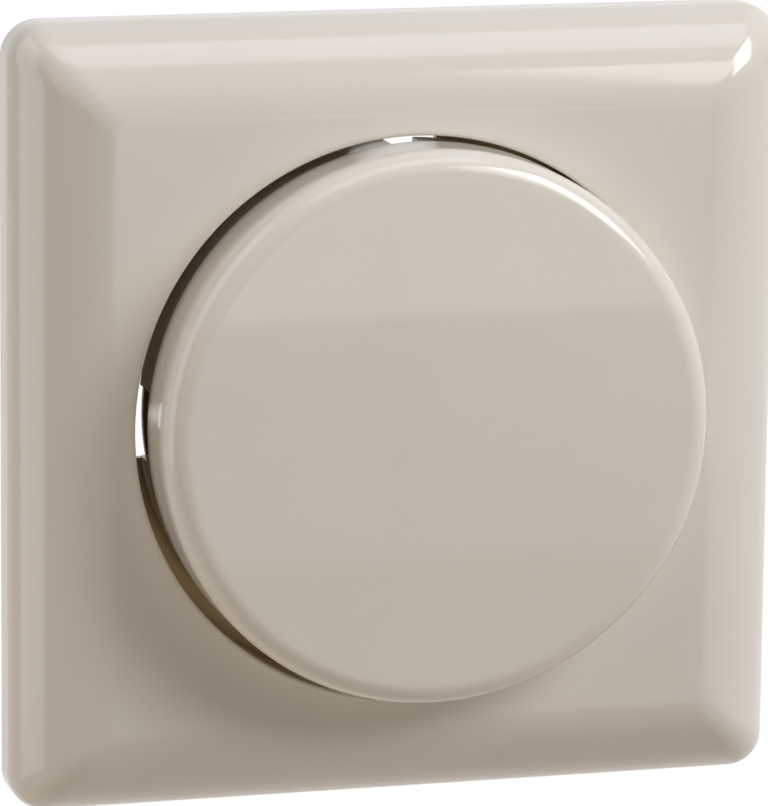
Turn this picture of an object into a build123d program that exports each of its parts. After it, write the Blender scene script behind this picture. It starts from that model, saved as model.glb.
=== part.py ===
from build123d import *
import os
from math import cos, radians, sin

os.makedirs("parts", exist_ok=True)

# A flush wall pushbutton: a square cover frame with a round push button, clipped over an insert.
# All sizes are in millimetres. X is to the right, Z is up and Y goes into the wall.
# The wall is the plane Y = 0, and a height is a distance in front of the wall.

# Cover frame
FRAME_HALF = 40.0
FRAME_HEIGHT = 10.9
SIDE_HEIGHT = 2.65
SHOULDER_RADIUS = 4.4
BEVEL_RADIUS = 12.0
SHOULDER_SLOPE = 62.0
CREST_SLOPE = 10.0
CORNER_RADIUS = 3.8
FRAME_WALL = 1.9
OPENING_RADIUS = 28.7
OPENING_EDGE_RADIUS = 0.35
COLLAR_WALL = 1.7
COLLAR_END_HEIGHT = 5.0
SEAT_RIB_THICKNESS = 1.6
SEAT_RIB_DEPTH = 2.4
SEAT_RIB_TOP = 9.2
SEAT_RIB_SHOULDER = 7.6
SEAT_RIB_SIDE_TOP = 3.4
HOOK_CENTRE_RADIUS = 31.6
HOOK_THICKNESS = 1.4
HOOK_WIDTH = 4.8
HOOK_BARB = 0.8
HOOK_REACH = 2.2

# Push button
BUTTON_RADIUS = 28.0
BUTTON_RISE = 8.2
BUTTON_LIP_SUNK = 0.7
BUTTON_EDGE_RADIUS = 2.4
FACET_START = 12.3
FACET_TILT = 3.2
FACET_BLEND_RADIUS = 40.0
BUTTON_FACE_WALL = 2.7
SKIRT_RADIUS = 27.4
SKIRT_WALL = 1.3
SKIRT_END_HEIGHT = 3.6
SIDE_SLOT_WIDTH = 7.3
SIDE_SLOT_OFFSET = 0.35
KEY_SLOT_WIDTH = 3.2
KEY_SLOT_OFFSET = 0.75
# The cap is found at the upper right of its play in the frame.
BUTTON_SHIFT_X = 0.6
BUTTON_SHIFT_Z = 0.1
SEAT_RADIUS = 8.6
SEAT_WALL = 1.2

# Support ring
RING_SIDE = 71.0
RING_CORNER = 7.0
RING_THICKNESS = 1.0
RING_OPENING_RADIUS = 25.9
RING_NOTCH_WIDTH = 9.4
RING_SIDE_NOTCH = 26.6
RING_TOP_NOTCH = 27.2
BOX_SCREW_SPACING = 60.0
BOX_SCREW_SLOT_WIDTH = 3.4
BOX_SCREW_SLOT_LENGTH = 4.6
TURN_SLOT_LENGTH = 12.0
ARM_LENGTH = 14.0
ARM_WIDTH = 7.0
ARM_CENTRE_RADIUS = 25.0

# Insert
GUIDE_RADIUS = 25.3
GUIDE_THICKNESS = 2.4
GUIDE_FLANGE_RADIUS = 25.8
GUIDE_FLANGE_THICKNESS = 0.7
POST_X = 17.0
POST_Z = 7.0
POST_RADIUS = 2.5
POST_CLEARANCE = 0.2
POST_TIP_HEIGHT = 10.6
RIVET_X = 13.0
RIVET_Z = 16.0
RIVET_RADIUS = 1.25
RIVET_HEAD_RADIUS = 2.3
RIVET_HEAD = 0.8
BASE_WIDTH = 34.0
BASE_TALL = 40.0
BASE_DEPTH = 24.0
BASE_WALL = 1.6
BASE_BACK = 1.8
BOSS_SIDE = 5.2
BOSS_DEPTH = 7.0
PARTITION_X = 6.4
PARTITION_WALL = 1.2

# Slider that carries the button
CARRIER_HEIGHT = 9.4
CARRIER_THICKNESS = 2.0
CARRIER_WIDE = 43.0
CARRIER_BAR = 24.0
CARRIER_TALL = 36.0
CARRIER_TONGUE = 14.0
LEG_Z = 15.5
LEG_THICKNESS = 1.6
LEG_WIDTH = 6.0
LEG_BARB = 1.0
STEM_RADIUS = 2.0
STEM_SHOULDER_RADIUS = 4.0
STEM_SHOULDER_DEPTH = 2.0
STEM_SHOULDER_THICKNESS = 1.2
CLIP_X = 10.0
CLIP_Z = 9.0
CLIP_WIDTH = 5.0
CLIP_THICKNESS = 1.2
CLIP_BARB = 1.0
CLIP_PLAY_X = 0.7
CLIP_PLAY_Z = 0.4

# Contacts and terminals
RAIL_DEPTH = 11.4
RAIL_THICKNESS = 0.8
RAIL_OUTER_X = 14.9
RAIL_INNER_X = 6.0
RAIL_END_DEPTH = 21.4
RAIL_HALF_TALL = 12.0
RAIL_TONGUE_HALF = 3.0
TIP_X = 8.8
TIP_RADIUS = 1.5
TIP_HEIGHT = 0.6
CONTACT_GAP = 1.15
BRIDGE_HALF = 10.8
BRIDGE_WIDTH = 5.4
BRIDGE_THICKNESS = 0.7
WIRE_X = 12.6
WIRE_Z = 8.5
WIRE_HOLE_RADIUS = 1.4
CLAMP_WIDTH = 5.0
CLAMP_THICKNESS = 0.4
LEVER_X = 12.0
LEVER_WIDE = 3.4
LEVER_TALL = 5.4
LEVER_PROUD = 1.2
LEVER_BAR_HALF = 6.8
LEVER_BAR_WIDE = 2.2
LEVER_BAR_THICKNESS = 1.6
LEVER_FRONT_DEPTH = 20.2

# Springs
RETURN_SPRING_RADIUS = 3.65
RETURN_SPRING_WIRE = 0.7
RETURN_SPRING_TURNS = 3.5
CONTACT_SPRING_RADIUS = 3.2
CONTACT_SPRING_WIRE = 0.6
CONTACT_SPRING_TURNS = 3

# Sizes that follow
CEILING_HEIGHT = FRAME_HEIGHT - FRAME_WALL
FACE_HEIGHT = FRAME_HEIGHT + BUTTON_RISE
LIP_HEIGHT = FRAME_HEIGHT - BUTTON_LIP_SUNK
GUIDE_FRONT = RING_THICKNESS + GUIDE_THICKNESS
CARRIER_FRONT = CARRIER_HEIGHT + CARRIER_THICKNESS
CAVITY_DEPTH = BASE_DEPTH - BASE_BACK
CAVITY_HALF_X = BASE_WIDTH / 2 - BASE_WALL
CAVITY_HALF_Z = BASE_TALL / 2 - BASE_WALL
FIXED_TIP_DEPTH = RAIL_DEPTH - TIP_HEIGHT
BRIDGE_BACK_DEPTH = FIXED_TIP_DEPTH - CONTACT_GAP - TIP_HEIGHT
BRIDGE_FRONT_DEPTH = BRIDGE_BACK_DEPTH - BRIDGE_THICKNESS
SHIFT = (BUTTON_SHIFT_X, BUTTON_SHIFT_Z)


def level(height):
    """The plane parallel to the wall at this height, with local X to the right and local Y up."""
    return Plane.XZ.offset(height)


def radial(angle):
    """The plane through the centre line at this clock angle: local X outwards, local Y forwards."""
    turn = radians(angle)
    return Plane(origin=(0, 0, 0), x_dir=(cos(turn), 0, sin(turn)), z_dir=(sin(turn), 0, -cos(turn)))


def bevel_point(slope, wall=0.0):
    """Inset and height of the frame's border where its surface has this slope, wall mm below it."""
    start = sin(radians(SHOULDER_SLOPE))
    if slope >= SHOULDER_SLOPE:
        inset = SHOULDER_RADIUS * (1 - sin(radians(slope)))
        height = SIDE_HEIGHT + SHOULDER_RADIUS * cos(radians(slope))
    else:
        shoulder_height = SIDE_HEIGHT + SHOULDER_RADIUS * cos(radians(SHOULDER_SLOPE))
        share = cos(radians(slope)) - cos(radians(SHOULDER_SLOPE))
        share = share / (cos(radians(CREST_SLOPE)) - cos(radians(SHOULDER_SLOPE)))
        inset = SHOULDER_RADIUS * (1 - start) + BEVEL_RADIUS * (start - sin(radians(slope)))
        height = shoulder_height + (FRAME_HEIGHT - shoulder_height) * share
    return inset + wall * sin(radians(slope)), height - wall * cos(radians(slope))


def border_outline(wall=0.0):
    """Points of the frame's outline from its lower back edge to its upper one, as (Y, Z)."""
    side = [bevel_point(slope, wall) for slope in (90, 76, SHOULDER_SLOPE, 34, CREST_SLOPE)]
    lower = [(-height, inset - FRAME_HALF) for inset, height in side]
    upper = [(-height, FRAME_HALF - inset) for inset, height in reversed(side)]
    return [(0, lower[0][1]), *lower, *upper, (0, upper[-1][1])]


def pillow(wall=0.0):
    """The frame's border as a solid: the same outline seen from the side and from above."""
    points = border_outline(wall)
    reach = FRAME_HALF + 1
    with BuildPart() as block:
        for plane, flip in ((Plane.YZ, False), (Plane.XY, True)):
            line = [(along, out) if flip else (out, along) for out, along in points]
            with BuildSketch(plane):
                with BuildLine():
                    Line(line[0], line[1])
                    ThreePointArc(line[1], line[2], line[3])
                    ThreePointArc(line[3], line[4], line[5])
                    Line(line[5], line[6])
                    ThreePointArc(line[6], line[7], line[8])
                    ThreePointArc(line[8], line[9], line[10])
                    Line(line[10], line[11])
                    Line(line[11], line[0])
                make_face()
            extrude(amount=reach, both=True, mode=Mode.INTERSECT if flip else Mode.ADD)
        mitres = block.edges().filter_by(lambda edge: abs(abs(edge.center().X) - abs(edge.center().Z)) < 0.001)
        mitres = mitres.filter_by(lambda edge: abs(edge.center().X) > OPENING_RADIUS)
        fillet(mitres, CORNER_RADIUS - wall)
    return block.part


def coil_spring(centre, front_height, length, mean_radius, wire, turns):
    """A compression spring on a line through centre, from front_height back by length."""
    with BuildPart() as spring:
        with BuildLine() as path:
            Helix(
                pitch=(length - wire) / turns,
                height=length - wire,
                radius=mean_radius,
                center=(centre[0], -front_height + wire / 2, centre[1]),
                direction=(0, 1, 0),
            )
        with BuildSketch(Plane(origin=path.line @ 0, z_dir=path.line % 0)):
            RegularPolygon(radius=wire / 2, side_count=6)
        sweep(is_frenet=True)
    return spring.part


# Cover frame: one moulding, a pillow-shaped border round a flat plateau with the button's opening.
with BuildPart() as cover_frame:
    add(pillow())
    add(pillow(FRAME_WALL), mode=Mode.SUBTRACT)
    # The collar round the opening stiffens its edge and hides the hollow behind it.
    with BuildSketch(level(COLLAR_END_HEIGHT)):
        Circle(OPENING_RADIUS + COLLAR_WALL)
    extrude(amount=CEILING_HEIGHT - COLLAR_END_HEIGHT + FRAME_WALL / 2)
    with BuildSketch(level(0)):
        Circle(OPENING_RADIUS)
    extrude(amount=FRAME_HEIGHT + 1, mode=Mode.SUBTRACT)
    front_face = cover_frame.faces().sort_by(Axis.Y)[0]
    fillet(front_face.edges().filter_by(GeomType.CIRCLE).sort_by(SortBy.RADIUS)[-1], OPENING_EDGE_RADIUS)
    # Four ribs seat the frame on the support ring, one in the middle of each side.
    rib_outer = FRAME_HALF - FRAME_WALL + 0.3
    for angle in (0, 90, 180, 270):
        with BuildSketch(radial(angle)):
            with BuildLine():
                Polyline(
                    (RING_SIDE / 2 - SEAT_RIB_DEPTH, RING_THICKNESS),
                    (rib_outer, RING_THICKNESS),
                    (rib_outer, SEAT_RIB_SIDE_TOP),
                    (RING_SIDE / 2 - 0.4, SEAT_RIB_SHOULDER),
                    (RING_SIDE / 2 - SEAT_RIB_DEPTH, SEAT_RIB_TOP),
                    close=True,
                )
            make_face()
        extrude(amount=SEAT_RIB_THICKNESS / 2, both=True)
    # Four snap hooks on the diagonals reach through the support ring.
    hook_inner = HOOK_CENTRE_RADIUS - HOOK_THICKNESS / 2
    hook_outer = HOOK_CENTRE_RADIUS + HOOK_THICKNESS / 2
    for angle in (45, 135, 225, 315):
        with BuildSketch(radial(angle)):
            with BuildLine():
                Polyline(
                    (hook_inner, CEILING_HEIGHT + 0.6),
                    (hook_outer, CEILING_HEIGHT + 0.6),
                    (hook_outer, -0.15),
                    (hook_outer + HOOK_BARB, -0.15),
                    (hook_outer - 0.1, -HOOK_REACH),
                    (hook_inner, -HOOK_REACH),
                    close=True,
                )
            make_face()
        extrude(amount=HOOK_WIDTH / 2, both=True)

# Push button: one moulding, a head with three shallow facets, a skirt behind it and four clips.
with BuildPart() as button:
    slope_drop = (BUTTON_RADIUS + 2 - FACET_START) * sin(radians(FACET_TILT))
    head_reach = BUTTON_RADIUS + 2
    # The side view of the head: its face is flat in the middle and falls away above and below.
    with BuildSketch(Plane.YZ):
        with BuildLine():
            FilletPolyline(
                (-LIP_HEIGHT, BUTTON_SHIFT_Z - head_reach),
                (-FACE_HEIGHT + slope_drop, BUTTON_SHIFT_Z - head_reach),
                (-FACE_HEIGHT, BUTTON_SHIFT_Z - FACET_START),
                (-FACE_HEIGHT, BUTTON_SHIFT_Z + FACET_START),
                (-FACE_HEIGHT + slope_drop, BUTTON_SHIFT_Z + head_reach),
                (-LIP_HEIGHT, BUTTON_SHIFT_Z + head_reach),
                radius=[0.5, FACET_BLEND_RADIUS, FACET_BLEND_RADIUS, 0.5],
            )
            Line((-LIP_HEIGHT, BUTTON_SHIFT_Z + head_reach), (-LIP_HEIGHT, BUTTON_SHIFT_Z - head_reach))
        make_face()
    extrude(amount=head_reach + 1, both=True)
    with BuildSketch(level(LIP_HEIGHT)):
        with Locations(SHIFT):
            Circle(BUTTON_RADIUS)
    extrude(amount=BUTTON_RISE + 2, mode=Mode.INTERSECT)
    front_edges = button.edges().filter_by(lambda edge: edge.center().Y < -LIP_HEIGHT - 1)
    rim_edges = front_edges.filter_by(
        lambda edge: abs((edge @ 0 - Vector(BUTTON_SHIFT_X, (edge @ 0).Y, BUTTON_SHIFT_Z)).length - BUTTON_RADIUS)
        < 0.01
        and abs((edge @ 0.5 - Vector(BUTTON_SHIFT_X, (edge @ 0.5).Y, BUTTON_SHIFT_Z)).length - BUTTON_RADIUS)
        < 0.01
    )
    fillet(rim_edges, BUTTON_EDGE_RADIUS)
    with BuildSketch(level(SKIRT_END_HEIGHT)):
        with Locations(SHIFT):
            Circle(SKIRT_RADIUS)
    extrude(amount=LIP_HEIGHT - SKIRT_END_HEIGHT)
    with BuildSketch(level(SKIRT_END_HEIGHT)):
        with Locations(SHIFT):
            Circle(SKIRT_RADIUS - SKIRT_WALL)
    extrude(amount=FACE_HEIGHT - BUTTON_FACE_WALL - SKIRT_END_HEIGHT, mode=Mode.SUBTRACT)
    # Slots in the skirt: wide ones at the sides, and narrow keys above and below, set off centre.
    with BuildSketch(level(SKIRT_END_HEIGHT)):
        with Locations((BUTTON_SHIFT_X - SKIRT_RADIUS, BUTTON_SHIFT_Z - SIDE_SLOT_OFFSET)):
            Rectangle(3 * SKIRT_WALL, SIDE_SLOT_WIDTH)
        with Locations((BUTTON_SHIFT_X + SKIRT_RADIUS, BUTTON_SHIFT_Z + SIDE_SLOT_OFFSET)):
            Rectangle(3 * SKIRT_WALL, SIDE_SLOT_WIDTH)
        with Locations((BUTTON_SHIFT_X - KEY_SLOT_OFFSET, BUTTON_SHIFT_Z + SKIRT_RADIUS)):
            Rectangle(KEY_SLOT_WIDTH, 3 * SKIRT_WALL)
        with Locations((BUTTON_SHIFT_X + KEY_SLOT_OFFSET, BUTTON_SHIFT_Z - SKIRT_RADIUS)):
            Rectangle(KEY_SLOT_WIDTH, 3 * SKIRT_WALL)
    extrude(amount=LIP_HEIGHT - SKIRT_END_HEIGHT, mode=Mode.SUBTRACT)
    # A round rib seats the button on its slider.
    with BuildSketch(level(CARRIER_FRONT)):
        with Locations(SHIFT):
            Circle(SEAT_RADIUS)
            Circle(SEAT_RADIUS - SEAT_WALL, mode=Mode.SUBTRACT)
    extrude(amount=FACE_HEIGHT - BUTTON_FACE_WALL / 2 - CARRIER_FRONT)
    clip_outer = CLIP_Z + CLIP_THICKNESS / 2
    clip_inner = CLIP_Z - CLIP_THICKNESS / 2
    with BuildSketch(Plane.YZ) as clip_profile:
        with BuildLine():
            Polyline(
                (-FACE_HEIGHT + BUTTON_FACE_WALL / 2, clip_inner),
                (-FACE_HEIGHT + BUTTON_FACE_WALL / 2, clip_outer),
                (-CARRIER_HEIGHT + 0.1, clip_outer),
                (-CARRIER_HEIGHT + 0.1, clip_outer + CLIP_BARB),
                (-CARRIER_HEIGHT + 1.6, clip_outer - 0.1),
                (-CARRIER_HEIGHT + 1.6, clip_inner),
                close=True,
            )
        make_face()
        mirror(about=Plane.XZ)
    for clip_x in (BUTTON_SHIFT_X - CLIP_X, BUTTON_SHIFT_X + CLIP_X):
        clip_place = Location((clip_x, 0, BUTTON_SHIFT_Z))
        extrude(clip_profile.sketch.moved(clip_place), amount=CLIP_WIDTH / 2, both=True)

# Slider: a cross-shaped plate on four posts, with a stem to the contacts and two stop legs.
with BuildPart() as carrier:
    with BuildSketch(level(CARRIER_HEIGHT)):
        RectangleRounded(CARRIER_WIDE, CARRIER_BAR, 4.0)
        RectangleRounded(CARRIER_TONGUE, CARRIER_TALL, 2.0)
        with GridLocations(2 * POST_X, 2 * POST_Z, 2, 2):
            Circle(POST_RADIUS + POST_CLEARANCE, mode=Mode.SUBTRACT)
        with GridLocations(2 * CLIP_X, 2 * CLIP_Z, 2, 2):
            Rectangle(CLIP_WIDTH + 2 * CLIP_PLAY_X, CLIP_THICKNESS + 2 * CLIP_PLAY_Z, mode=Mode.SUBTRACT)
    extrude(amount=CARRIER_THICKNESS)
    with BuildSketch(Plane.XY):
        with BuildLine():
            Polyline(
                (0, -CARRIER_HEIGHT),
                (STEM_RADIUS, -CARRIER_HEIGHT),
                (STEM_RADIUS, STEM_SHOULDER_DEPTH),
                (STEM_SHOULDER_RADIUS, STEM_SHOULDER_DEPTH),
                (STEM_SHOULDER_RADIUS, STEM_SHOULDER_DEPTH + STEM_SHOULDER_THICKNESS),
                (STEM_RADIUS, STEM_SHOULDER_DEPTH + STEM_SHOULDER_THICKNESS),
                (STEM_RADIUS, BRIDGE_BACK_DEPTH + 0.1),
                (STEM_RADIUS + 0.7, BRIDGE_BACK_DEPTH + 0.1),
                (STEM_RADIUS - 0.4, BRIDGE_BACK_DEPTH + 1.5),
                (0, BRIDGE_BACK_DEPTH + 1.5),
                close=True,
            )
        make_face()
    revolve(axis=Axis.Y)
    leg_outer = LEG_Z + LEG_THICKNESS / 2
    with BuildSketch(Plane.YZ) as leg_profile:
        with BuildLine():
            Polyline(
                (-CARRIER_HEIGHT, LEG_Z - LEG_THICKNESS / 2),
                (-CARRIER_HEIGHT, leg_outer),
                (-RING_THICKNESS + 0.05, leg_outer),
                (-RING_THICKNESS + 0.05, leg_outer + LEG_BARB),
                (1.6, leg_outer),
                (1.6, LEG_Z - LEG_THICKNESS / 2),
                close=True,
            )
        make_face()
        mirror(about=Plane.XZ)
    extrude(amount=LEG_WIDTH / 2, both=True)
    # A raised rim stiffens the plate round the stem.
    with BuildSketch(level(CARRIER_FRONT)):
        Circle(6.0)
        Circle(4.6, mode=Mode.SUBTRACT)
    extrude(amount=1.4)

# Guide plate: a round moulding that closes the base, with four posts for the slider and springs.
with BuildPart() as guide_plate:
    with BuildSketch(level(RING_THICKNESS)):
        Circle(GUIDE_FLANGE_RADIUS)
    extrude(amount=GUIDE_FLANGE_THICKNESS)
    with BuildSketch(level(RING_THICKNESS)):
        Circle(GUIDE_RADIUS)
    extrude(amount=GUIDE_THICKNESS)
    with BuildSketch(level(RING_THICKNESS)):
        Circle(STEM_SHOULDER_RADIUS + 0.6)
        with GridLocations(0, 2 * LEG_Z, 1, 2):
            Rectangle(LEG_WIDTH + 1.0, LEG_THICKNESS + 0.6)
        with GridLocations(2 * RIVET_X, 2 * RIVET_Z, 2, 2):
            Circle(RIVET_RADIUS + 0.05)
    extrude(amount=GUIDE_THICKNESS, mode=Mode.SUBTRACT)
    with BuildSketch(level(GUIDE_FRONT)):
        with GridLocations(2 * POST_X, 2 * POST_Z, 2, 2):
            Circle(POST_RADIUS)
    extrude(amount=POST_TIP_HEIGHT - GUIDE_FRONT)
    chamfer(guide_plate.faces().sort_by(Axis.Y)[:4].edges(), 0.5)

# Support ring: pressed steel, with screw slots 60 mm apart, holes for the hooks and four arms.
with BuildPart() as support_ring:
    with BuildSketch(level(0)):
        RectangleRounded(RING_SIDE, RING_SIDE, RING_CORNER)
        Circle(RING_OPENING_RADIUS, mode=Mode.SUBTRACT)
        Rectangle(2 * RING_SIDE_NOTCH, RING_NOTCH_WIDTH, mode=Mode.SUBTRACT)
        Rectangle(RING_NOTCH_WIDTH, 2 * RING_TOP_NOTCH, mode=Mode.SUBTRACT)
        arm_angle = 50.6
        for angle in (arm_angle, 180 - arm_angle, 180 + arm_angle, -arm_angle):
            place = (ARM_CENTRE_RADIUS * cos(radians(angle)), ARM_CENTRE_RADIUS * sin(radians(angle)))
            with Locations(place):
                SlotOverall(ARM_LENGTH, ARM_WIDTH, rotation=angle)
        with GridLocations(2 * RIVET_X, 2 * RIVET_Z, 2, 2):
            Circle(RIVET_RADIUS + 0.05, mode=Mode.SUBTRACT)
        with GridLocations(BOX_SCREW_SPACING, 0, 2, 1):
            SlotOverall(BOX_SCREW_SLOT_LENGTH, BOX_SCREW_SLOT_WIDTH, mode=Mode.SUBTRACT)
        with GridLocations(0, BOX_SCREW_SPACING, 1, 2):
            SlotOverall(TURN_SLOT_LENGTH, BOX_SCREW_SLOT_WIDTH, mode=Mode.SUBTRACT)
        for angle in (45, 135, 225, 315):
            place = (HOOK_CENTRE_RADIUS * cos(radians(angle)), HOOK_CENTRE_RADIUS * sin(radians(angle)))
            with Locations(place):
                Rectangle(HOOK_THICKNESS + 0.6, HOOK_WIDTH + 0.4, rotation=angle, mode=Mode.SUBTRACT)
    extrude(amount=RING_THICKNESS)

# Base: a moulded box behind the ring, with wire holes and lever windows in its back.
with BuildPart() as base:
    with BuildSketch(level(0)):
        RectangleRounded(BASE_WIDTH, BASE_TALL, 2.5)
    extrude(amount=-BASE_DEPTH)
    chamfer(base.faces().sort_by(Axis.Y)[-1].edges(), 0.8)
    with BuildSketch(level(0)):
        RectangleRounded(2 * CAVITY_HALF_X, 2 * CAVITY_HALF_Z, 1.2)
    extrude(amount=-CAVITY_DEPTH, mode=Mode.SUBTRACT)
    with BuildSketch(level(0)):
        with GridLocations(2 * RIVET_X, 2 * RIVET_Z, 2, 2):
            Rectangle(BOSS_SIDE, BOSS_SIDE)
    extrude(amount=-BOSS_DEPTH)
    partition_front = RAIL_DEPTH + RAIL_THICKNESS
    with BuildSketch(level(-partition_front)):
        with GridLocations(2 * PARTITION_X, 0, 2, 1):
            Rectangle(PARTITION_WALL, 2 * CAVITY_HALF_Z)
    extrude(amount=partition_front - CAVITY_DEPTH)
    with BuildSketch(level(0)):
        with GridLocations(2 * RIVET_X, 2 * RIVET_Z, 2, 2):
            Circle(RIVET_RADIUS + 0.05)
    extrude(amount=-BOSS_DEPTH, mode=Mode.SUBTRACT)
    with BuildSketch(level(-CAVITY_DEPTH)):
        with GridLocations(2 * WIRE_X, 2 * WIRE_Z, 2, 2):
            Circle(WIRE_HOLE_RADIUS)
        with GridLocations(2 * LEVER_X, 0, 2, 1):
            Rectangle(LEVER_WIDE + 0.5, LEVER_TALL + 0.5)
    extrude(amount=-BASE_BACK, mode=Mode.SUBTRACT)

# Four tubular rivets clamp the guide plate, the ring's arms and the base together.
with BuildPart() as rivets:
    with BuildSketch(level(-BOSS_DEPTH)):
        with GridLocations(2 * RIVET_X, 2 * RIVET_Z, 2, 2):
            Circle(RIVET_RADIUS)
    extrude(amount=BOSS_DEPTH + GUIDE_FRONT)
    with BuildSketch(level(GUIDE_FRONT)):
        with GridLocations(2 * RIVET_X, 2 * RIVET_Z, 2, 2):
            Circle(RIVET_HEAD_RADIUS)
    extrude(amount=RIVET_HEAD)
    with BuildSketch(level(-BOSS_DEPTH)):
        with GridLocations(2 * RIVET_X, 2 * RIVET_Z, 2, 2):
            Circle(RIVET_HEAD_RADIUS - 0.3)
    extrude(amount=-RIVET_HEAD)
    with BuildSketch(level(GUIDE_FRONT + RIVET_HEAD)):
        with GridLocations(2 * RIVET_X, 2 * RIVET_Z, 2, 2):
            Circle(RIVET_RADIUS / 2)
    extrude(amount=-RIVET_HEAD - 1, mode=Mode.SUBTRACT)

# Moving contact: a brass strip on the stem that joins the two fixed contacts.
with BuildPart() as contact_bridge:
    with BuildSketch(level(-BRIDGE_BACK_DEPTH)):
        SlotOverall(2 * BRIDGE_HALF, BRIDGE_WIDTH)
        Circle(STEM_RADIUS + 1.6)
        Circle(STEM_RADIUS + 0.2, mode=Mode.SUBTRACT)
    extrude(amount=BRIDGE_THICKNESS)

with BuildPart() as bridge_contact_tips:
    with BuildSketch(level(-BRIDGE_BACK_DEPTH)):
        with GridLocations(2 * TIP_X, 0, 2, 1):
            Circle(TIP_RADIUS)
    extrude(amount=-TIP_HEIGHT)

with BuildPart() as fixed_contact_tips:
    with BuildSketch(level(-RAIL_DEPTH)):
        with GridLocations(2 * TIP_X, 0, 2, 1):
            Circle(TIP_RADIUS)
    extrude(amount=TIP_HEIGHT)

# Contact rails: brass strips bent back along the side walls, which the wires are pressed against.
with BuildPart() as contact_rail_right:
    with BuildSketch(Plane.XY) as rail_profile:
        with BuildLine():
            Polyline(
                (RAIL_INNER_X, RAIL_DEPTH),
                (RAIL_OUTER_X, RAIL_DEPTH),
                (RAIL_OUTER_X, RAIL_END_DEPTH),
                (RAIL_OUTER_X - RAIL_THICKNESS, RAIL_END_DEPTH),
                (RAIL_OUTER_X - RAIL_THICKNESS, RAIL_DEPTH + RAIL_THICKNESS),
                (RAIL_INNER_X, RAIL_DEPTH + RAIL_THICKNESS),
                close=True,
            )
        make_face()
        outer_corner = rail_profile.vertices().sort_by_distance((RAIL_OUTER_X, RAIL_DEPTH))[0]
        fillet(outer_corner, RAIL_THICKNESS + 0.2)
    extrude(amount=RAIL_HALF_TALL, both=True)
    # Only a tongue reaches the contact tip.
    trim = RAIL_HALF_TALL - RAIL_TONGUE_HALF
    tongue_length = RAIL_OUTER_X - RAIL_THICKNESS - RAIL_INNER_X - 0.4
    with BuildSketch(level(-RAIL_DEPTH + 1)):
        with GridLocations(0, RAIL_HALF_TALL + RAIL_TONGUE_HALF, 1, 2):
            with Locations((RAIL_INNER_X + tongue_length / 2, 0)):
                Rectangle(tongue_length, trim)
    extrude(amount=-RAIL_THICKNESS - 2, mode=Mode.SUBTRACT)

with BuildPart() as contact_rail_left:
    mirror(contact_rail_right.part, about=Plane.YZ)

contact_spring = coil_spring(
    (0, 0),
    -(STEM_SHOULDER_DEPTH + STEM_SHOULDER_THICKNESS),
    BRIDGE_FRONT_DEPTH - STEM_SHOULDER_DEPTH - STEM_SHOULDER_THICKNESS,
    CONTACT_SPRING_RADIUS,
    CONTACT_SPRING_WIRE,
    CONTACT_SPRING_TURNS,
)

# Release levers: sliders in the base's back that push the clamp springs off the wires.
with BuildPart() as release_lever_right:
    with BuildSketch(level(-LEVER_FRONT_DEPTH)):
        with Locations((LEVER_X, 0)):
            RectangleRounded(LEVER_WIDE, LEVER_TALL, 0.5)
    extrude(amount=LEVER_FRONT_DEPTH - BASE_DEPTH - LEVER_PROUD)
    chamfer(release_lever_right.faces().sort_by(Axis.Y)[-1].edges(), 0.3)
    with BuildSketch(level(-LEVER_FRONT_DEPTH)):
        with Locations((LEVER_X + 0.4, 0)):
            Rectangle(LEVER_BAR_WIDE, 2 * LEVER_BAR_HALF)
    extrude(amount=-LEVER_BAR_THICKNESS)

with BuildPart() as release_lever_left:
    mirror(release_lever_right.part, about=Plane.YZ)


def clamp_spring(side, row):
    """A strip spring bent back on itself, whose free leg presses a wire against the rail."""
    with BuildPart() as spring:
        with BuildSketch(Plane.XY.offset(row * WIRE_Z)):
            with BuildLine() as strip:
                FilletPolyline(
                    (side * 7.6, 13.6),
                    (side * 7.6, 21.4),
                    (side * 10.4, 21.4),
                    (side * 13.6, 15.4),
                    radius=1.1,
                )
            trace(line_width=CLAMP_THICKNESS)
        extrude(amount=CLAMP_WIDTH / 2, both=True)
    return spring.part


pieces = {
    "cover_frame": cover_frame.part,
    "button": button.part,
    "carrier": carrier.part,
    "guide_plate": guide_plate.part,
    "support_ring": support_ring.part,
    "base": base.part,
    "rivets": rivets.part,
    "contact_bridge": contact_bridge.part,
    "bridge_contact_tips": bridge_contact_tips.part,
    "fixed_contact_tips": fixed_contact_tips.part,
    "contact_rail_right": contact_rail_right.part,
    "contact_rail_left": contact_rail_left.part,
    "contact_spring": contact_spring,
    "release_lever_right": release_lever_right.part,
    "release_lever_left": release_lever_left.part,
}
for row_name, row in (("upper", 1), ("lower", -1)):
    for side_name, side in (("left", -1), ("right", 1)):
        pieces[f"clamp_spring_{row_name}_{side_name}"] = clamp_spring(side, row)
        pieces[f"return_spring_{row_name}_{side_name}"] = coil_spring(
            (side * POST_X, row * POST_Z),
            CARRIER_HEIGHT,
            CARRIER_HEIGHT - GUIDE_FRONT,
            RETURN_SPRING_RADIUS,
            RETURN_SPRING_WIRE,
            RETURN_SPRING_TURNS,
        )

for name, piece in pieces.items():
    piece.label = name
    export_step(piece, f"parts/{name}.step")
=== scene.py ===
"""A flush wall pushbutton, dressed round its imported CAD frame.

X is to the right, Z is up and Y goes into the wall, whose plane is Y = 0. Sizes in the dataclasses are in
millimetres, and a height is a distance in front of the wall. The camera stands where the photograph's did.
"""

import logging
from dataclasses import dataclass, field
from enum import Enum

import bpy
import numpy as np
from mathutils import Matrix, Quaternion, Vector

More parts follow.
